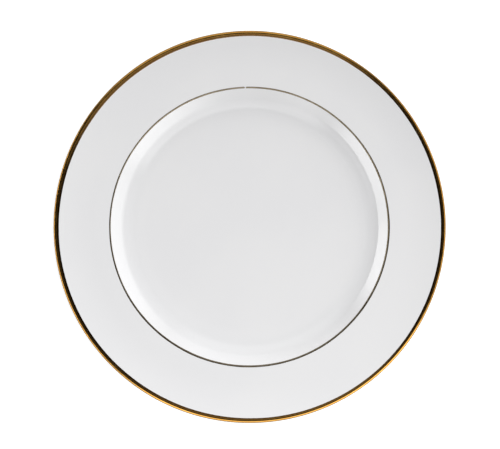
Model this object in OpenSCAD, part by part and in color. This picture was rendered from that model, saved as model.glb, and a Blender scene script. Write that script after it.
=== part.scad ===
// Rimmed dinner plate in glazed white china with on-glaze gold banding.
// The plate stands on its foot ring: z = 0 is the plane that the foot rests on, and
// the Z axis is the axis that the plate was turned about. Millimetres throughout.
//
// The fired body is one lathe-turned section. Its outline is a short list of corners,
// each with its own rounding. The glaze and the gold are layers laid over stretches of
// that same outline, so they fit it exactly.

/* [Plate] */
// Overall diameter, over the gilded edge
plate_d = 270; // [260:1:280]
// Diameter of the flat part of the floor
floor_d = 142; // [132:1:146]
// Diameter where the cove's curve proper starts, outside the floor's gentle rise
cove_d = 160; // [155:1:162]
// Diameter of the shoulder between the well's wall and the flange
verge_d = 193; // [189:1:196]
// Thickness of the floor
floor_t = 3.6; // [3.2:0.1:4.4]
// Thickness of the well's wall
wall_t = 3.8; // [3.2:0.1:4.4]
// Thickness of the flange at its outer edge
edge_t = 2.9; // [2.5:0.1:3.3]

/* [Slopes] */
// Slope that the floor rises to before the cove, in degrees
dish_slope = 6; // [4:0.5:8]
// Slope of the well's wall, in degrees
wall_slope = 40; // [35:1:44]
// Slope of the flange next to the shoulder, in degrees
flange_slope = 3.5; // [2:0.5:5]
// Slope of the flange next to the edge, in degrees
edge_slope = 14; // [12:0.5:16]
// Distance from the edge in to the middle of the flange's upward bend
bend_from_edge = 15.5; // [15:0.5:17]

/* [Foot ring] */
// Diameter of the foot ring, at the middle of its resting face
foot_d = 156.4; // [154:0.2:158]
// Width of the foot ring across its two bottom corners
foot_w = 3; // [2.6:0.1:3.4]
// Depth of the recess inside the foot ring
foot_h = 3; // [2.6:0.1:3.4]

/* [Rounding] */
// Radius of the cove between floor and wall
cove_radius = 18; // [12:1:20]
// Radius of the shoulder that carries the gold line
shoulder_radius = 1.6; // [1.4:0.1:2.2]
// How far the flange's bend is spread to either side of its middle
bend_reach = 11; // [8:0.5:11.5]
// Share of the edge's height that its roundings take up
edge_round = 0.97; // [0.7:0.01:0.98]

/* [Layers] */
// Thickness of the glaze
glaze_t = 0.2; // [0.15:0.01:0.3]
// Thickness of the gold layer
gold_t = 0.1; // [0.08:0.01:0.15]
// Width of the gold band, seen from above
band_w = 3.5; // [3.1:0.1:4]
// Width of the part of the band that is turned under the edge, seen from below
band_under_w = 1.7; // [1.5:0.1:2.2]

/* [Hidden] */

$fn = 180;
arc_tolerance = 0.005; // furthest that an arc's facets leave the true curve

china_white = [0.90, 0.90, 0.90];
bisque_white = [0.86, 0.85, 0.82];
gold = [0.83, 0.62, 0.25];

// Sizes of the bare body, under its layers
body_r = plate_d / 2 - glaze_t - gold_t;
bend_r = plate_d / 2 - bend_from_edge;
verge_r = verge_d / 2;
floor_z = foot_h + floor_t;
band_inner_r = plate_d / 2 - band_w;
band_under_r = plate_d / 2 - band_under_w;

// Slopes of the under side, a little flatter than the face so that the edge is thinner
under_flange_slope = 4;
under_edge_slope = 12.5;
heel_slope = 12;
foot_flank = 72;

// Height up the foot's flanks that is wiped bare of glaze
glaze_end_h = 0.75;

// Share of the floor's rise that is rounded, the rest of it being straight
rise_round = 0.9;

// Rounding of the under side
foot_edge_radius = 0.7;
recess_radius = 2;
foot_root_radius = 1.8;
heel_round = 0.9; // share of the free length from the foot's root to the heel
under_shoulder_radius = 5;

// ---- Geometry of straight lines in the (radius, height) plane ----

// Point where the line through p at slope a meets the line through q at slope b
function meet(p, a, q, b) =
    let (r = (q[1] - p[1] + p[0] * tan(a) - q[0] * tan(b)) / (tan(a) - tan(b)))
    [r, p[1] + (r - p[0]) * tan(a)];

// Point on the line through p at slope a, at radius r
function along(p, a, r) = [r, p[1] + (r - p[0]) * tan(a)];

// Point p moved square to a line at slope a, downwards by t
function below(p, a, t) = p + t * [sin(a), -cos(a)];

// ---- Corners of the section ----

// The face
dish_reach = rise_round * (cove_d - floor_d) / 2 / (1 + cos(dish_slope));
dish = [floor_d / 2 + dish_reach, floor_z];
cove_reach = cove_radius * tan((wall_slope - dish_slope) / 2);
cove = along(dish, dish_slope, cove_d / 2 + cove_reach * cos(dish_slope));
verge = along(cove, wall_slope, verge_r);
bend = along(verge, flange_slope, bend_r);
lip_top = along(bend, edge_slope, body_r);
band_inner = along(lip_top, edge_slope, band_inner_r);

// The under side, from the edge inwards
lip_bottom = along(below(band_inner, edge_slope, edge_t), under_edge_slope, body_r);
band_under = along(lip_bottom, under_edge_slope, band_under_r);
under_bend = along(lip_bottom, under_edge_slope, bend_r);
wall_line = below(cove, wall_slope, wall_t);
under_verge = meet(under_bend, under_flange_slope, wall_line, wall_slope);

// The foot ring
foot_inner = [(foot_d - foot_w) / 2, 0];
foot_outer = [(foot_d + foot_w) / 2, 0];
recess = [foot_inner[0] - foot_h / tan(foot_flank), foot_h];
foot_root = foot_outer + foot_h * [1 / tan(foot_flank), 1];
glaze_end_inner = foot_inner + glaze_end_h * [-1 / tan(foot_flank), 1];
glaze_end_outer = foot_outer + glaze_end_h * [1 / tan(foot_flank), 1];
heel = meet(foot_root, heel_slope, wall_line, wall_slope);

// Radius that rounds a corner of that turn over a length of reach to either side
function spread(reach, turn) = reach / tan(turn / 2);

// One radius rounds the edge's top and bottom corners
lip_radius = edge_round * (lip_top[1] - lip_bottom[1])
    / (tan((90 + edge_slope) / 2) + tan((90 - under_edge_slope) / 2));

// The heel's radius fits between the foot's root and the wall
foot_root_reach = foot_root_radius * tan((foot_flank - heel_slope) / 2);
heel_radius = spread(
    heel_round * (norm(heel - foot_root) - foot_root_reach),
    wall_slope - heel_slope
);

// [corner, rounding radius], anticlockwise from the axis under the floor back to the
// axis on top of it. A radius of 0 on a straight stretch marks where a layer ends.
CORNERS = [
    [[0, foot_h], 0],
    [recess, recess_radius],
    [glaze_end_inner, 0],
    [foot_inner, foot_edge_radius],
    [foot_outer, foot_edge_radius],
    [glaze_end_outer, 0],
    [foot_root, foot_root_radius],
    [heel, heel_radius],
    [under_verge, under_shoulder_radius],
    [under_bend, spread(bend_reach, under_edge_slope - under_flange_slope)],
    [band_under, 0],
    [lip_bottom, lip_radius],
    [lip_top, lip_radius],
    [band_inner, 0],
    [bend, spread(bend_reach, edge_slope - flange_slope)],
    [verge, shoulder_radius],
    [cove, cove_radius],
    [dish, spread(dish_reach, dish_slope)],
    [[0, floor_z], 0]
];

// Places in CORNERS where the layers start and end
AT_AXIS_BELOW = 0;
AT_GLAZE_END_INNER = 2;
AT_GLAZE_END_OUTER = 5;
AT_BAND_UNDER = 10;
AT_BAND_INNER = 13;
AT_VERGE = 15;
AT_AXIS_ABOVE = len(CORNERS) - 1;

// ---- Rounded outline ----

function heading(a, b) = atan2(b[1] - a[1], b[0] - a[0]);
function wrapped(angle) = angle - 360 * round(angle / 360);
function outward(h) = [sin(h), -cos(h)];
function arc_steps(radius, turn) =
    radius == 0 ? 0 : ceil(abs(turn) / (2 * acos(1 - arc_tolerance / radius)));

// Corner i rounded off, as a list of [point, outward normal]
function rounded(i) =
    let (
        corner = CORNERS[i][0],
        radius = CORNERS[i][1],
        before = i == AT_AXIS_BELOW ? corner - [1, 0] : CORNERS[i - 1][0],
        after = i == AT_AXIS_ABOVE ? corner - [1, 0] : CORNERS[i + 1][0],
        h = heading(before, corner),
        turn = wrapped(heading(corner, after) - h),
        reach = radius * tan(abs(turn) / 2),
        start = corner - reach * [cos(h), sin(h)],
        centre = start - sign(turn) * radius * outward(h),
        steps = arc_steps(radius, turn)
    )
    [
        for (k = [0:steps])
            let (hk = h + turn * (steps == 0 ? 0 : k / steps))
            [centre + sign(turn) * radius * outward(hk), outward(hk)]
    ];

// The outline's points from corner i to corner j, moved outwards by d
function outline(i, j, d) = [
    for (n = [i:j])
        for (s = rounded(n))
            s[0] + d * s[1]
];

function reversed(list) = [for (n = [len(list) - 1:-1:0]) list[n]];

// A skin over the outline from corner i to corner j, between two heights above it
module layer(i, j, inner, outer) {
    rotate_extrude()
        polygon(concat(outline(i, j, inner), reversed(outline(i, j, outer))));
}

// ---- Sub-parts ----

// The fired china body: floor, wall, shoulder, flange, edge and foot ring in one piece
module porcelain_body() {
    color(bisque_white)
        rotate_extrude()
            polygon(outline(AT_AXIS_BELOW, AT_AXIS_ABOVE, 0));
}

// Glaze from the foot ring's outer flank, round the edge and over the whole face
module main_glaze_coat() {
    color(china_white)
        layer(AT_GLAZE_END_OUTER, AT_AXIS_ABOVE, 0, glaze_t);
}

// Glaze of the recess inside the foot ring, whose resting face is wiped bare
module base_recess_glaze() {
    color(china_white)
        layer(AT_AXIS_BELOW, AT_GLAZE_END_INNER, 0, glaze_t);
}

// Wide gold band over the edge, turned under it
module rim_gold_band() {
    color(gold)
        layer(AT_BAND_UNDER, AT_BAND_INNER, glaze_t, glaze_t + gold_t);
}

// Fine gold line along the rounded shoulder
module verge_gold_line() {
    color(gold)
        layer(AT_VERGE, AT_VERGE, glaze_t, glaze_t + gold_t);
}

porcelain_body();
main_glaze_coat();
base_recess_glaze();
rim_gold_band();
verge_gold_line();
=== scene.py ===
"""Looks of a rimmed china dinner plate with gold banding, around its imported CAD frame.

The plate's section is worked out in millimetres, as (radius, height) in the plane that is
turned about the Z axis. It becomes metres only when a mesh is made. Azimuths are in
degrees from +X towards +Y.
"""
from math import acos, atan2, ceil, cos, degrees, pi, radians, sin, tan

import bpy
import numpy as np
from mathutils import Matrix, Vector


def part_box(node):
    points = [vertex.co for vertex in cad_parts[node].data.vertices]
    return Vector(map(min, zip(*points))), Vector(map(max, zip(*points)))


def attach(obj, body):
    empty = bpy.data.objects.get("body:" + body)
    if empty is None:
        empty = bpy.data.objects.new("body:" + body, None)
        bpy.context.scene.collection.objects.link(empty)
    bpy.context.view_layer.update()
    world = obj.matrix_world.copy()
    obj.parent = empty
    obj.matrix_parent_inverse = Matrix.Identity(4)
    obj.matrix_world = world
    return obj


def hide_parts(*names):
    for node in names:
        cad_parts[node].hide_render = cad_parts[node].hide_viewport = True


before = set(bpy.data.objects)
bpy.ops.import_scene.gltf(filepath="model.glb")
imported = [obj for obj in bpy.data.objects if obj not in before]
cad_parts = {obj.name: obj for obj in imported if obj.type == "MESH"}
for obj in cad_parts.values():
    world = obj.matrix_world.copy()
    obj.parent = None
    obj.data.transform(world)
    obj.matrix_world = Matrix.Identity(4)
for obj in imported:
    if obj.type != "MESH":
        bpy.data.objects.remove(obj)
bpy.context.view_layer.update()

BODY = "root"
MM = 0.001

# ---- Driving dimensions of the section, in millimetres and degrees ----

PLATE_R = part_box("rim_gold_band")[1].x / MM
FOOT_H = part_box("base_recess_glaze")[1].z / MM
GLAZE = 0.2
GOLD = 0.1
BODY_R = PLATE_R - GLAZE - GOLD
FLOOR_R = 71.0
COVE_R = 80.0
VERGE_R = 96.5
BEND_R = PLATE_R - 15.5
BAND_INNER_R = PLATE_R - 3.5
BAND_UNDER_R = PLATE_R - 1.7
FLOOR_Z = FOOT_H + 3.6
WALL_T = 3.8
EDGE_T = 2.9
FOOT_R = 78.2
FOOT_W = 3.0
GLAZE_END_H = 0.75

DISH_SLOPE = 6
WALL_SLOPE = 40
FLANGE_SLOPE = 3.5
EDGE_SLOPE = 14
UNDER_FLANGE_SLOPE = 4
UNDER_EDGE_SLOPE = 12.5
HEEL_SLOPE = 12
FOOT_FLANK = 72

COVE_RADIUS = 18
SHOULDER_RADIUS = 1.6
BEND_REACH = 11
EDGE_ROUND = 0.97
FOOT_EDGE_RADIUS = 0.7
RECESS_RADIUS = 2
FOOT_ROOT_RADIUS = 1.8
HEEL_ROUND = 0.9
RISE_ROUND = 0.9
UNDER_SHOULDER_RADIUS = 5

# ---- How finely the meshes are cut ----

TURNS = 280          # segments round the body and its glaze
BAND_TURNS = 720     # segments round the rim's gold
LINE_TURNS = 1440    # points along the fine gold line
BAND_ACROSS = 44     # points across the rim's gold, on its outer side
LINE_ACROSS = 11     # and across the fine line
GOLD_STEP = 0.05     # millimetres between the points of a path that gold follows
ARC_TOLERANCE = 0.004  # millimetres
MAX_ARC_STEP = 5.0   # degrees
MAX_GAP = 6.0        # millimetres along a straight stretch


# ---- Geometry in the (radius, height) plane ----

def slope(angle):
    """Rise per millimetre of a line at that slope in degrees."""
    return tan(radians(angle))


def point(r, z):
    return np.array([r, z], float)


def meet(p, a, q, b):
    """Where the line through p at slope a meets the line through q at slope b."""
    r = (q[1] - p[1] + p[0] * slope(a) - q[0] * slope(b)) / (slope(a) - slope(b))
    return along(p, a, r)


def along(p, a, r):
    """The point at radius r on the line through p at slope a."""
    return point(r, p[1] + (r - p[0]) * slope(a))


def below(p, a, t):
    """p moved down by t, square to a line at slope a."""
    return p + t * point(sin(radians(a)), -cos(radians(a)))


def spread(reach, turn):
    """The radius that rounds a corner of that turn over a length of reach to either side."""
    return reach / slope(turn / 2)


def section_corners():
    """(name, corner, rounding radius) of the bare body, anticlockwise from the axis below."""
    dish_reach = RISE_ROUND * (COVE_R - FLOOR_R) / (1 + cos(radians(DISH_SLOPE)))
    dish = point(FLOOR_R + dish_reach, FLOOR_Z)
    cove_reach = COVE_RADIUS * slope((WALL_SLOPE - DISH_SLOPE) / 2)
    cove = along(dish, DISH_SLOPE, COVE_R + cove_reach * cos(radians(DISH_SLOPE)))
    verge = along(cove, WALL_SLOPE, VERGE_R)
    bend = along(verge, FLANGE_SLOPE, BEND_R)
    lip_top = along(bend, EDGE_SLOPE, BODY_R)
    band_inner = along(lip_top, EDGE_SLOPE, BAND_INNER_R)

    lip_bottom = along(below(band_inner, EDGE_SLOPE, EDGE_T), UNDER_EDGE_SLOPE, BODY_R)
    band_under = along(lip_bottom, UNDER_EDGE_SLOPE, BAND_UNDER_R)
    under_bend = along(lip_bottom, UNDER_EDGE_SLOPE, BEND_R)
    wall_line = below(cove, WALL_SLOPE, WALL_T)
    under_verge = meet(under_bend, UNDER_FLANGE_SLOPE, wall_line, WALL_SLOPE)

    foot_inner = point(FOOT_R - FOOT_W / 2, 0)
    foot_outer = point(FOOT_R + FOOT_W / 2, 0)
    flank_in = point(-1 / slope(FOOT_FLANK), 1)
    flank_out = point(1 / slope(FOOT_FLANK), 1)
    foot_root = foot_outer + FOOT_H * flank_out
    heel = meet(foot_root, HEEL_SLOPE, wall_line, WALL_SLOPE)

    lip_radius = EDGE_ROUND * (lip_top[1] - lip_bottom[1]) / (
        slope((90 + EDGE_SLOPE) / 2) + slope((90 - UNDER_EDGE_SLOPE) / 2))
    heel_free = np.linalg.norm(heel - foot_root)
    heel_free -= FOOT_ROOT_RADIUS * slope((FOOT_FLANK - HEEL_SLOPE) / 2)
    heel_radius = spread(HEEL_ROUND * heel_free, WALL_SLOPE - HEEL_SLOPE)
    under_bend_radius = spread(BEND_REACH, UNDER_EDGE_SLOPE - UNDER_FLANGE_SLOPE)
    return [
        ("axis_below", point(0, FOOT_H), 0),
        ("recess", foot_inner + FOOT_H * flank_in, RECESS_RADIUS),
        ("glaze_end_inner", foot_inner + GLAZE_END_H * flank_in, 0),
        ("foot_inner", foot_inner, FOOT_EDGE_RADIUS),
        ("foot_outer", foot_outer, FOOT_EDGE_RADIUS),
        ("glaze_end_outer", foot_outer + GLAZE_END_H * flank_out, 0),
        ("foot_root", foot_root, FOOT_ROOT_RADIUS),
        ("heel", heel, heel_radius),
        ("under_verge", under_verge, UNDER_SHOULDER_RADIUS),
        ("under_bend", under_bend, under_bend_radius),
        ("band_under", band_under, 0),
        ("lip_bottom", lip_bottom, lip_radius),
        ("lip_top", lip_top, lip_radius),
        ("band_inner", band_inner, 0),
        ("bend", bend, spread(BEND_REACH, EDGE_SLOPE - FLANGE_SLOPE)),
        ("verge", verge, SHOULDER_RADIUS),
        ("cove", cove, COVE_RADIUS),
        ("dish", dish, spread(dish_reach, DISH_SLOPE)),
        ("axis_above", point(0, FLOOR_Z), 0),
    ]


CORNERS = section_corners()
PLACE = {corner[0]: i for i, corner in enumerate(CORNERS)}


def heading(a, b):
    return atan2(b[1] - a[1], b[0] - a[0])


def outward(h):
    return point(sin(h), -cos(h))


def rounded(i):
    """Corner i rounded off, as a list of (point, outward normal)."""
    corner, radius = CORNERS[i][1], CORNERS[i][2]
    inwards = corner - point(1, 0)
    before = inwards if i == 0 else CORNERS[i - 1][1]
    after = inwards if i == len(CORNERS) - 1 else CORNERS[i + 1][1]
    h = heading(before, corner)
    if radius == 0:
        return [(corner, outward(h))]
    turn = heading(corner, after) - h
    turn -= 2 * pi * round(turn / (2 * pi))
    side = 1 if turn > 0 else -1
    start = corner - radius * tan(abs(turn) / 2) * point(cos(h), sin(h))
    centre = start - side * radius * outward(h)
    step = min(2 * acos(1 - ARC_TOLERANCE / radius), radians(MAX_ARC_STEP))
    steps = ceil(abs(turn) / step)
    normals = [outward(h + turn * k / steps) for k in range(steps + 1)]
    return [(centre + side * radius * n, n) for n in normals]


def outline(first, last):
    """Points and outward normals of the bare body's section between two named corners."""
    points = []
    normals = []
    for i in range(PLACE[first], PLACE[last] + 1):
        for p, n in rounded(i):
            if points:
                gap = p - points[-1]
                cuts = ceil(np.linalg.norm(gap) / MAX_GAP)
                here = points[-1]
                for k in range(1, cuts):
                    points.append(here + gap * k / cuts)
                    normals.append(n)
            points.append(p)
            normals.append(n)
    return np.array(points), np.array(normals)


def lengths(points):
    """Distance along a path at each of its points."""
    steps = np.linalg.norm(np.diff(points, axis=0), axis=1)
    return np.concatenate([[0], np.cumsum(steps)])


def unit(vectors):
    return vectors / np.linalg.norm(vectors, axis=-1, keepdims=True)


def waves(angle, terms):
    """A sum of sines round the plate. terms are (waves in a turn, amplitude, phase in degrees)."""
    return sum(size * np.sin(count * angle + radians(phase)) for count, size, phase in terms)


# ---- Meshes ----

WARP_TERMS = [(2, 0.055, 20), (3, 0.03, 140), (5, 0.012, 65)]


def warp(r, angle):
    """How far the flange has sunk in the kiln, unevenly, beyond the foot ring, in millimetres."""
    depth = sum(term[1] for term in WARP_TERMS)
    out = np.clip((r - FOOT_R - FOOT_W) / (PLATE_R - FOOT_R - FOOT_W), 0, None)
    return -(depth - waves(angle, WARP_TERMS)) * out ** 2


def at_each(angles, path):
    """A path as (points, angles, 2): the same at every angle unless it already differs."""
    return path if path.ndim == 3 else np.repeat(path[:, None, :], len(angles), axis=1)


def turned_points(path, angles):
    """Places in metres of a path's points turned to each angle."""
    path = at_each(angles, path)
    r = path[..., 0]
    z = path[..., 1] + warp(r, angles)
    return np.stack([r * np.cos(angles), r * np.sin(angles), z], axis=-1) * MM


def turned_normals(facing, angles):
    facing = at_each(angles, facing)
    r = facing[..., 0]
    return unit(np.stack([r * np.cos(angles), r * np.sin(angles), facing[..., 1]], axis=-1))


def turned_mesh(name, path, facing, angles, round_path=False, round_turn=True):
    """A smooth closed mesh: a path with its outward normals, turned to each angle.

    A point on the axis becomes one vertex. round_path joins the path's last point to its
    first, and round_turn the last angle to the first. Without round_turn, both ends are
    capped.
    """
    places = turned_points(path, angles)
    normals = turned_normals(facing, angles)
    rows, columns = places.shape[:2]
    on_axis = [not round_path and np.ptp(places[i], axis=0).max() < 1e-9 for i in range(rows)]
    index = []
    verts = []
    directions = []
    for i in range(rows):
        if on_axis[i]:
            index.append([len(verts)] * columns)
            verts.append(places[i, 0])
            directions.append(normals[i, 0])
        else:
            index.append(list(range(len(verts), len(verts) + columns)))
            verts.extend(places[i])
            directions.extend(normals[i])
    faces = []
    for i in range(rows if round_path else rows - 1):
        a, b = index[i], index[(i + 1) % rows]
        for j in range(columns if round_turn else columns - 1):
            k = (j + 1) % columns
            faces.append(list(dict.fromkeys([a[j], a[k], b[k], b[j]])))
    if not round_turn:
        faces.append([row[0] for row in index])
        faces.append([row[-1] for row in reversed(index)])
    mesh = bpy.data.meshes.new(name)
    mesh.from_pydata([tuple(v) for v in verts], [], faces)
    mesh.polygons.foreach_set("use_smooth", [True] * len(faces))
    mesh.normals_split_custom_set_from_vertices([tuple(n) for n in directions])
    mesh.validate()
    return mesh


def piece(mesh, material, node):
    """An object of the plate that stands for a CAD node, named as its mesh is."""
    obj = bpy.data.objects.new(mesh.name, mesh)
    bpy.context.scene.collection.objects.link(obj)
    mesh.materials.append(material)
    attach(obj, BODY)
    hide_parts(node)
    return obj


def even_angles(count):
    return np.arange(count) * 2 * pi / count


# ---- The fired body and its glaze ----

BEAD_W = 0.9         # distance over which the glaze thickens towards its end on the foot
BEAD_T = 0.06        # how much thicker it is there
ROLL_R = (GLAZE + BEAD_T) / 2    # radius of the roll that it ends in
ROLL_STEPS = 8       # steps round that roll's half circle


def make_body(material):
    points, normals = outline("axis_below", "axis_above")
    mesh = turned_mesh("china_body", points, normals, even_angles(TURNS))
    return piece(mesh, material, "porcelain_body")


def glaze_roll(end, normal, tangent):
    """The rounded roll that ends a coat, from its outer to its inner face.

    end is the last point that the coat covers, and tangent points on past it.
    """
    middle = end + ROLL_R * (normal - tangent)
    turns = [pi * k / ROLL_STEPS for k in range(1, ROLL_STEPS)]
    facing = [cos(t) * normal + sin(t) * tangent for t in turns]
    return np.array([middle + ROLL_R * f for f in facing]), np.array(facing)


def coat(first, last, direction):
    """The closed section of a glaze coat, from one pole to the other.

    direction is +1 for a coat that ends at last, and -1 for one that starts at first.
    """
    points, normals = outline(first, last)
    end = -1 if direction > 0 else 0
    tangent = point(-normals[end][1], normals[end][0]) * direction
    roll, roll_normals = glaze_roll(points[end], normals[end], tangent)
    points[end] -= ROLL_R * tangent
    s = lengths(points)
    from_end = np.abs(s - s[end])
    swell = BEAD_T * np.clip(1 - from_end / BEAD_W, 0, 1) ** 2
    thickness = GLAZE + swell
    outer = points + thickness[:, None] * normals
    if direction > 0:
        path = [outer, roll, points[::-1]]
        facing = [normals, roll_normals, -normals[::-1]]
    else:
        path = [points[::-1], roll[::-1], outer]
        facing = [-normals[::-1], roll_normals[::-1], normals]
    return np.concatenate(path), np.concatenate(facing)


def make_coat(name, node, first, last, direction, material):
    path, facing = coat(first, last, direction)
    mesh = turned_mesh(name, path, facing, even_angles(TURNS))
    return piece(mesh, material, node)


# ---- Gold ----

BRUSH_OVER = 0.9     # how far past its stretch of the outline the brush may stray
SUNK = 0.02          # how deep the gold's edges are sunk in the glaze
MAX_LEAN = 0.15      # steepest that the gold's domed surface is shaded

# Waves of the gold's edges: see waves()
RIM_INNER_WAVES = [(1, 0.32, 135), (2, 0.05, 10), (3, 0.1, 250), (11, 0.02, 200), (29, 0.012, 30)]
RIM_UNDER_WAVES = [(3, 0.09, 40), (7, 0.06, 150), (17, 0.04, 310), (41, 0.02, 70)]
LINE_MIDDLE_WAVES = [(1, 0.22, 83), (3, 0.03, 100), (8, 0.02, 20), (19, 0.015, 260)]
LINE_WIDTH_WAVES = [(1, 0.11, 130), (3, 0.045, 90), (13, 0.015, 140), (31, 0.01, 80)]

RIM_INNER_OVER = 0.16    # how far past the band's stretch its inner edge lies on average
RIM_UNDER_SHORT = 0.3    # how far short of it the edge underneath stays
RIM_JOIN = 48            # azimuth where the banding brush was lifted off the rim
RIM_LAP = 0.14           # how far the gold runs over at the join
RIM_LAP_TURN = 7         # degrees over which that dies away

LINE_HALF_W = 0.67       # half the fine line's width
LINE_INWARD = 0.3        # how far its middle is past the shoulder's, towards the well
LINE_FULL_HALF_W = 0.5   # half width from which on it has its full thickness
LINE_JOIN = 91.8         # azimuth where its two ends meet
LINE_JOIN_GAP = 0.55


def layer(points, normals, starts, ends, lifts, across):
    """The closed section of a gold layer at each angle.

    starts and ends are how far along the points' path the gold reaches at each angle, and
    lifts is its thickness there. It is lens-shaped, with its edges sunk in the glaze.
    across is how many points its outer side has.
    """
    s = lengths(points)
    share = (1 - np.cos(pi * np.linspace(0, 1, across))) / 2
    at = starts + (ends - starts) * share[:, None]
    p = np.stack([np.interp(at, s, points[:, k]) for k in range(2)], axis=-1)
    n = unit(np.stack([np.interp(at, s, normals[:, k]) for k in range(2)], axis=-1))
    bulge = np.sqrt(np.sin(pi * share))[:, None]
    raised = GLAZE - SUNK + (SUNK + lifts) * bulge
    lean = np.gradient(raised, axis=0) / np.maximum(np.gradient(at, axis=0), 1e-6)
    tangent = np.stack([-n[..., 1], n[..., 0]], axis=-1)
    outer = p + raised[..., None] * n
    outer_normals = unit(n - np.clip(lean, -MAX_LEAN, MAX_LEAN)[..., None] * tangent)
    inner = (p + (GLAZE - 2 * SUNK) * n)[-2:0:-1]
    inner_normals = -n[-2:0:-1]
    return np.concatenate([outer, inner]), np.concatenate([outer_normals, inner_normals])


def finer(points, normals):
    """The same path with points no further apart than GOLD_STEP."""
    s = lengths(points)
    at = np.linspace(0, s[-1], ceil(s[-1] / GOLD_STEP) + 1)
    p = np.stack([np.interp(at, s, points[:, k]) for k in range(2)], axis=-1)
    n = np.stack([np.interp(at, s, normals[:, k]) for k in range(2)], axis=-1)
    return p, unit(n)


def stretched(points, normals):
    """The same path run on straight by BRUSH_OVER at both ends."""
    tangents = np.stack([-normals[:, 1], normals[:, 0]], axis=-1)
    before = points[:1] - BRUSH_OVER * tangents[:1]
    after = points[-1:] + BRUSH_OVER * tangents[-1:]
    p = np.concatenate([before, points, after])
    return p, np.concatenate([normals[:1], normals, normals[-1:]])


def since_join(angle, join):
    """Degrees gone round since the join, from 0 to 360."""
    return np.degrees(angle - radians(join)) % 360


def make_rim_band(material):
    points, normals = finer(*stretched(*outline("band_under", "band_inner")))
    angles = even_angles(BAND_TURNS)
    whole = lengths(points)[-1]
    lap = RIM_LAP * np.exp(-since_join(angles, RIM_JOIN) / RIM_LAP_TURN)
    from_end = BRUSH_OVER - RIM_INNER_OVER + waves(angles, RIM_INNER_WAVES) - lap
    from_start = BRUSH_OVER + RIM_UNDER_SHORT + waves(angles, RIM_UNDER_WAVES)
    thickness = np.full(len(angles), GOLD)
    path, facing = layer(points, normals, from_start, whole - from_end, thickness, BAND_ACROSS)
    mesh = turned_mesh("rim_band", path, facing, angles, round_path=True)
    return piece(mesh, material, "rim_gold_band")


def make_verge_line(material):
    points, normals = finer(*stretched(*outline("verge", "verge")))
    whole = lengths(points)[-1]
    radius = points[:, 0].mean()
    half_gap = degrees(LINE_JOIN_GAP / radius) / 2
    turn = np.linspace(half_gap, 360 - half_gap, LINE_TURNS)
    angles = np.radians(LINE_JOIN + turn)
    middle = whole / 2 + LINE_INWARD + waves(angles, LINE_MIDDLE_WAVES)
    half = LINE_HALF_W + waves(angles, LINE_WIDTH_WAVES)

    # Both ends are rounded.
    to_end = np.radians(np.minimum(turn - half_gap, 360 - half_gap - turn)) * radius
    tip = np.clip(to_end / half, 0.02, 1)
    half = half * np.sqrt(tip * (2 - tip))
    thickness = GOLD * np.clip(half / LINE_FULL_HALF_W, 0.1, 0.9)
    path, facing = layer(points, normals, middle - half, middle + half, thickness, LINE_ACROSS)
    mesh = turned_mesh("verge_line", path, facing, angles, round_path=True, round_turn=False)
    return piece(mesh, material, "verge_gold_line")


# ---- Materials ----

class Nodes:
    """A short way to lay out a shader's nodes."""

    def __init__(self, tree):
        self.tree = tree
        tree.nodes.clear()

    def add(self, kind, inputs=None, **settings):
        node = self.tree.nodes.new(kind)
        for key, value in settings.items():
            setattr(node, key, value)
        for key, value in (inputs or {}).items():
            self.set(node.inputs[key], value)
        return node

    def set(self, socket, value):
        if isinstance(value, bpy.types.NodeSocket):
            self.tree.links.new(value, socket)
        else:
            socket.default_value = value

    def math(self, operation, *values):
        node = self.add("ShaderNodeMath", dict(enumerate(values)), operation=operation)
        return node.outputs[0]

    def times(self, a, b):
        return self.math("MULTIPLY", a, b)

    def dot(self, a, b):
        """The scalar product of two vectors' x and y."""
        return self.math("ADD", self.times(a[0], b[0]), self.times(a[1], b[1]))

    def length(self, x, y):
        return self.math("SQRT", self.dot((x, y), (x, y)))

    def span(self, value, low, high, to_low=0.0, to_high=1.0):
        """value from low to high becomes to_low to to_high, smoothly and no further."""
        node = self.add("ShaderNodeMapRange", {
            "Value": value, "From Min": low, "From Max": high, "To Min": to_low, "To Max": to_high,
        }, interpolation_type="SMOOTHSTEP")
        return node.outputs["Result"]

    def ridge(self, value, start, full, still_full, end):
        """1 where value is from full to still_full, falling to 0 at start and at end."""
        return self.times(self.span(value, start, full), self.span(value, end, still_full))

    def noise(self, where, scale, detail=2.0, roughness=0.5):
        node = self.add("ShaderNodeTexNoise", {
            "Vector": where, "Scale": scale, "Detail": detail, "Roughness": roughness,
        })
        return node.outputs["Fac"]

    def spots(self, where, scale, channel, rarity, edge, core):
        """Round spots in a few random cells, fading from core to edge, in cell widths.

        Each channel, 0 to 2, picks other cells, and rarity is the share that is left out.
        """
        cells = self.add("ShaderNodeTexVoronoi", {"Vector": where, "Scale": scale, "Randomness": 1.0})
        dice = self.add("ShaderNodeSeparateColor", {0: cells.outputs["Color"]})
        chosen = self.math("GREATER_THAN", dice.outputs[channel], rarity)
        return self.times(chosen, self.span(cells.outputs["Distance"], edge, core))

    def mix(self, share, a, b):
        """Colour a changed to b by share."""
        return self.add("ShaderNodeMix", {0: share, 6: a, 7: b}, data_type="RGBA").outputs[2]

    def choose(self, share, a, b):
        """Number a changed to b by share."""
        return self.add("ShaderNodeMix", {0: share, 2: a, 3: b}, data_type="FLOAT").outputs[0]

    def bump(self, height, distance, strength, normal=None):
        inputs = {"Height": height, "Distance": distance, "Strength": strength}
        if normal is not None:
            inputs["Normal"] = normal
        return self.add("ShaderNodeBump", inputs).outputs["Normal"]


def new_material(name):
    material = bpy.data.materials.new(name)
    material.use_nodes = True
    return material, Nodes(material.node_tree)


def finish_material(nodes, inputs):
    shader = nodes.add("ShaderNodeBsdfPrincipled", inputs)
    nodes.add("ShaderNodeOutputMaterial", {"Surface": shader.outputs[0]})


RING_R = 0.012       # metres from the axis where marks keep their size: beyond, they are drawn out
NEAR_AXIS = 0.0005   # metres from the axis within which the marks run out


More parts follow.
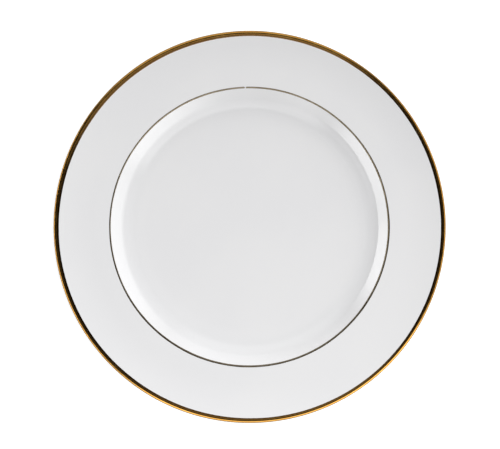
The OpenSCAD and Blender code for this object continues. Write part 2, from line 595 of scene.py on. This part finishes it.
def polar(nodes):
    """Coordinates for a turned surface, in metres except for the second.

    They are the object's own, the distance from the axis in millimetres, a vector for marks
    that are drawn out round the axis, and the height.
    """
    where = nodes.add("ShaderNodeTexCoord").outputs["Object"]
    x, y, z = nodes.add("ShaderNodeSeparateXYZ", {0: where}).outputs
    r = nodes.length(x, y)
    squeeze = nodes.math("DIVIDE", RING_R, nodes.math("MAXIMUM", r, NEAR_AXIS))
    ring = nodes.add("ShaderNodeCombineXYZ", {
        0: nodes.times(x, squeeze), 1: nodes.times(y, squeeze), 2: r,
    }).outputs[0]
    return where, nodes.times(r, 1 / MM), ring, z


GLAZE_IOR = 1.7      # higher than most glazes, so that dim windows still show on the wall


def glaze_material():
    """Clear glossy glaze over white china: turning marks, orange peel and a few pinholes."""
    material, nodes = new_material("clear_glaze_on_china")
    where, r, ring, z = polar(nodes)

    # The glaze pools in the cove, where it is a little greyer, and is thin on the shoulder. The cove's
    # grey is partly the pooled glaze's tint and partly painted shade.
    cloud = nodes.span(nodes.noise(where, 14, 3), 0.35, 0.65)
    white = nodes.mix(cloud, (0.861, 0.860, 0.870, 1), (0.876, 0.874, 0.880, 1))
    # Painted shade in part: the cove's colour is darkened where shade would fall in it, beyond the
    # pooled glaze's own tint.
    cove_pool_and_shade = nodes.ridge(r, FLOOR_R + 3, COVE_R + 2, VERGE_R - 8.5, VERGE_R - 2.5)
    white = nodes.mix(nodes.times(cove_pool_and_shade, 0.6), white, (0.842, 0.843, 0.852, 1))
    thin = nodes.ridge(r, VERGE_R - 0.9, VERGE_R + 0.3, VERGE_R + 0.7, VERGE_R + 1.9)
    white = nodes.mix(nodes.times(thin, 0.3), white, (0.875, 0.87, 0.86, 1))

    # Rare specks of iron in the body, each a quarter of a millimetre across
    speck = nodes.spots(where, 210.0, 0, 0.988, 0.035, 0.02)
    white = nodes.mix(nodes.times(speck, 0.45), white, (0.42, 0.36, 0.29, 1))

    # Gloss varies softly, with faint wear in patches of fine rings.
    gloss = nodes.span(nodes.noise(where, 35, 3), 0.3, 0.7, 0.05, 0.085)
    worn = nodes.times(nodes.noise(ring, 900, 3, 0.6), nodes.noise(where, 60, 2))
    roughness = nodes.math("ADD", gloss, nodes.span(worn, 0.25, 0.5, 0.0, 0.05))

    # Turning marks from the jigger, the glaze's slow waves and its orange peel, and pinholes
    normal = nodes.bump(nodes.noise(ring, 210, 2), 0.00003, 0.5)
    normal = nodes.bump(nodes.noise(where, 28, 1), 0.0004, 0.12, normal)
    normal = nodes.bump(nodes.noise(where, 420, 2), 0.00002, 0.35, normal)
    pit = nodes.spots(where, 150.0, 1, 0.965, 0.03, 0.0)
    normal = nodes.bump(nodes.math("SUBTRACT", 1.0, pit), 0.0001, 0.5, normal)
    finish_material(nodes, {
        "Base Color": white, "Roughness": roughness, "IOR": GLAZE_IOR, "Normal": normal,
    })
    return material


def bisque_material():
    """Bare fired china: fine grain, faint turning marks, and grey rubbed in where it stands."""
    material, nodes = new_material("bare_bisque")
    where, r, ring, z = polar(nodes)
    patches = nodes.span(nodes.noise(where, 90, 3), 0.3, 0.7)
    tone = nodes.mix(patches, (0.74, 0.72, 0.68, 1), (0.8, 0.785, 0.745, 1))
    grain = nodes.noise(where, 2600, 3, 0.65)
    tone = nodes.mix(nodes.span(grain, 0.62, 0.72, 0, 0.5), tone, (0.55, 0.51, 0.45, 1))
    standing = nodes.span(z, 0.0006, 0.0)
    rubbed = nodes.times(standing, nodes.span(nodes.noise(ring, 1500, 4, 0.7), 0.42, 0.62))
    tone = nodes.mix(nodes.times(rubbed, 0.6), tone, (0.47, 0.46, 0.45, 1))
    roughness = nodes.span(grain, 0.3, 0.7, 0.62, 0.85)
    marks = nodes.bump(nodes.noise(ring, 1800, 2), 0.00004, 0.5)
    rough = nodes.bump(grain, 0.00006, 0.6, marks)
    finish_material(nodes, {"Base Color": tone, "Roughness": roughness, "IOR": 1.5, "Normal": rough})
    return material


PAINTED_DARK_EDGE = 0.85         # how dark the rim's gold is painted at its inner edge, a painted dark reflection
PAINTED_DARK_EDGE_FULL_W = 0.6   # how far from that edge it is fully so
PAINTED_DARK_EDGE_W = 1.6        # and how far from it the last of it is


def gold_material(name, deep, bright, low, high):
    """Burnished on-glaze gold: brush streaks round the plate, rubbed and slightly clouded.

    The rim band's inner edge is darker, a painted dark reflection. deep and bright are the gold's
    two tones, and low and high the range of its roughness.
    """
    material, nodes = new_material(name)
    where, r, ring, z = polar(nodes)
    streak = nodes.noise(ring, 2600, 3, 0.6)
    cloud = nodes.noise(where, 120, 3, 0.6)
    tone = nodes.mix(nodes.span(cloud, 0.35, 0.65), deep, bright)
    shaded = [0.84 * level for level in deep[:3]] + [1]
    tone = nodes.mix(nodes.span(streak, 0.55, 0.7, 0, 0.35), tone, shaded)
    # Painted dark reflection: the rim band's gold is darkened along its inner edge.
    painted_dark_edge = nodes.span(r, BAND_INNER_R + PAINTED_DARK_EDGE_W, BAND_INNER_R + PAINTED_DARK_EDGE_FULL_W, 0, PAINTED_DARK_EDGE)
    on_rim = nodes.math("GREATER_THAN", r, BEND_R)
    tone = nodes.mix(nodes.times(painted_dark_edge, on_rim), tone, (0.10, 0.05, 0.02, 1))
    roughness = nodes.span(streak, 0.3, 0.7, low, high)
    roughness = nodes.math("ADD", roughness, nodes.span(cloud, 0.5, 0.7, 0.0, 0.05))
    normal = nodes.bump(streak, 0.00001, 0.5)
    finish_material(nodes, {
        "Base Color": tone, "Metallic": 1.0, "Roughness": roughness, "Normal": normal,
    })
    return material


# ---- Stage, camera and light ----

FLOOR_EXTENT = 15.0   # metres from the middle to each side
FLOOR_GLOW = 0.5      # what the camera sees of it beyond the light that falls on it
UNDER_LIGHT = 0.2     # how much it lights matt surfaces from below, in the same way
MIRROR_DIM = 0.5      # how much darker it is in reflections


def floor_material():
    """A white paper sweep. It glows a little to the camera, so it stays white, lights the
    under side from below, and is darker in reflections."""
    material, nodes = new_material("paper_floor")
    where = nodes.add("ShaderNodeTexCoord").outputs["Object"]
    fibre = nodes.noise(where, 900, 3)
    tone = nodes.mix(fibre, (0.86, 0.86, 0.86, 1), (0.88, 0.88, 0.88, 1))
    rays = nodes.add("ShaderNodeLightPath")
    dim = nodes.times(rays.outputs["Is Glossy Ray"], MIRROR_DIM)
    paper = nodes.add("ShaderNodeBsdfDiffuse", {"Color": nodes.mix(dim, tone, (0, 0, 0, 1))})
    seen = nodes.times(rays.outputs["Is Camera Ray"], FLOOR_GLOW)
    lifted = nodes.times(rays.outputs["Is Diffuse Ray"], UNDER_LIGHT)
    glow = nodes.add("ShaderNodeEmission", {"Strength": nodes.math("ADD", seen, lifted)})
    both = nodes.add("ShaderNodeAddShader", {0: paper.outputs[0], 1: glow.outputs[0]})
    nodes.add("ShaderNodeOutputMaterial", {"Surface": both.outputs[0]})
    return material


def make_floor():
    e = FLOOR_EXTENT
    mesh = bpy.data.meshes.new("floor")
    mesh.from_pydata([(-e, -e, 0), (e, -e, 0), (e, e, 0), (-e, e, 0)], [], [(0, 1, 2, 3)])
    mesh.materials.append(floor_material())
    floor = bpy.data.objects.new("floor", mesh)
    bpy.context.scene.collection.objects.link(floor)


LENS = 125.0          # millimetres, as is the sensor's width
SENSOR = 36.0
PLATE_SHARE = 0.7848  # share of the picture's width that the plate takes up
CAMERA_EAST = 0.234   # millimetres from the plate's axis to the camera's
CAMERA_NORTH = 1.624


def make_camera():
    """Looks straight down, with +Y up the picture."""
    data = bpy.data.cameras.new("camera")
    data.lens = LENS
    data.sensor_width = SENSOR
    camera = bpy.data.objects.new("camera", data)
    bpy.context.scene.collection.objects.link(camera)
    distance = 2 * PLATE_R * MM * LENS / (SENSOR * PLATE_SHARE)
    lip_z = sum(corner.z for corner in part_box("rim_gold_band")) / 2
    camera.location = (CAMERA_EAST * MM, CAMERA_NORTH * MM, lip_z + distance)
    bpy.context.scene.camera = camera


def toward(azimuth, elevation=0.0):
    a, e = radians(azimuth), radians(elevation)
    return Vector((cos(a) * cos(e), sin(a) * cos(e), sin(e)))


TENT = 0.776         # radiance of the light tent, as matt surfaces see it
TENT_LEAN = 0.78     # how much brighter it is towards its bright side
TENT_BRIGHT_SIDE = 56

# What mirrors see of the room, in degrees apart from the radiance: name, azimuth, half width
# at half strength, softness, radiance, height where it starts and height where it is full.
# From there it stays full downwards, until SILL.
ROOM = [
    ("south_wall", 283, 47, 7, 1.2, 71, 57),
    ("north_wall", 97, 36, 10, 0.53, 71, 58),
    ("southwest_wall", 222, 30, 12, 0.7, 52, 38),
    ("north_window", 68, 28, 20, 0.7, 24, 13),
    ("west_window", 189, 38, 13, 2.95, 18.5, 14.5),
    ("west_lamp", 167, 14, 4, 0.9, 17, 14.5),
    ("east_window", 346, 51, 18, 1.9, 36, 15),
]
ROOM_DARK = 0.012    # radiance of the rest of the room
SILL = 10.0, 13.5    # heights between which the whole room fades away towards the floor
BELOW_SILL = 0.1     # how much of it is left there


def window(nodes, heading_xy, z, azimuth, half, soft, radiance, start, full):
    """The radiance of one bright part of the room, zero outside it."""
    facing = nodes.dot(heading_xy, toward(azimuth))
    across = nodes.span(facing, cos(radians(half + soft)), cos(radians(half - soft)))
    up = nodes.span(z, sin(radians(start)), sin(radians(full)), 0.0, radiance)
    return nodes.times(across, up)


def room_radiance(nodes, x, y, z):
    """What mirrors see in a direction: the dim room and its bright parts."""
    flat = nodes.math("MAXIMUM", nodes.length(x, y), 0.001)
    heading_xy = nodes.math("DIVIDE", x, flat), nodes.math("DIVIDE", y, flat)
    room = ROOM_DARK
    for name, *shape in ROOM:
        room = nodes.math("ADD", room, window(nodes, heading_xy, z, *shape))
    low, high = (sin(radians(height)) for height in SILL)
    return nodes.times(room, nodes.span(z, low, high, BELOW_SILL, 1.0))


def make_world():
    """A light tent: even and softly directional on matt surfaces, and a dim room with a few
    bright parts in reflections. The camera sees a white backdrop."""
    world = bpy.data.worlds.new("studio")
    bpy.context.scene.world = world
    world.use_nodes = True
    nodes = Nodes(world.node_tree)
    way = nodes.add("ShaderNodeTexCoord").outputs["Generated"]
    x, y, z = nodes.add("ShaderNodeSeparateXYZ", {0: way}).outputs

    lean = nodes.times(nodes.dot((x, y), toward(TENT_BRIGHT_SIDE)), TENT_LEAN)
    tent = nodes.times(TENT, nodes.math("ADD", 1.0, lean))
    rays = nodes.add("ShaderNodeLightPath")
    seen = nodes.choose(rays.outputs["Is Glossy Ray"], tent, room_radiance(nodes, x, y, z))
    shown = nodes.choose(rays.outputs["Is Camera Ray"], seen, 1.0)
    background = nodes.add("ShaderNodeBackground", {"Color": (1, 1, 1, 1), "Strength": shown})
    nodes.add("ShaderNodeOutputWorld", {"Surface": background.outputs[0]})


FILL_AZIMUTH = -62
FILL_ELEVATION = 62
FILL_DISTANCE = 0.6  # metres, as is its size
FILL_SIZE = 0.3
FILL_RADIANCE = 2.7


def make_fill():
    """A square light to the south-east, above the plate. It doesn't show in reflections."""
    data = bpy.data.lights.new("near_fill", "AREA")
    data.shape = "SQUARE"
    data.size = FILL_SIZE
    data.energy = FILL_RADIANCE * pi * FILL_SIZE ** 2
    light = bpy.data.objects.new("near_fill", data)
    bpy.context.scene.collection.objects.link(light)
    way = toward(FILL_AZIMUTH, FILL_ELEVATION)
    light.location = way * FILL_DISTANCE
    light.rotation_mode = "QUATERNION"
    light.rotation_quaternion = way.to_track_quat("Z", "Y")
    light.visible_camera = False
    light.visible_glossy = False


# ---- The scene ----

bpy.context.scene.view_settings.view_transform = "Standard"
make_floor()
make_camera()
make_world()
make_fill()

glaze = glaze_material()
band_gold = gold_material("burnished_gold", (0.92, 0.475, 0.105, 1), (0.96, 0.53, 0.13, 1), 0.13, 0.22)
line_gold = gold_material("thin_gold", (0.25, 0.20, 0.13, 1), (0.32, 0.265, 0.185, 1), 0.28, 0.36)
make_body(bisque_material())
make_coat("face_glaze", "main_glaze_coat", "glaze_end_outer", "axis_above", -1, glaze)
make_coat("recess_glaze", "base_recess_glaze", "axis_below", "glaze_end_inner", 1, glaze)
make_rim_band(band_gold)
make_verge_line(line_gold)
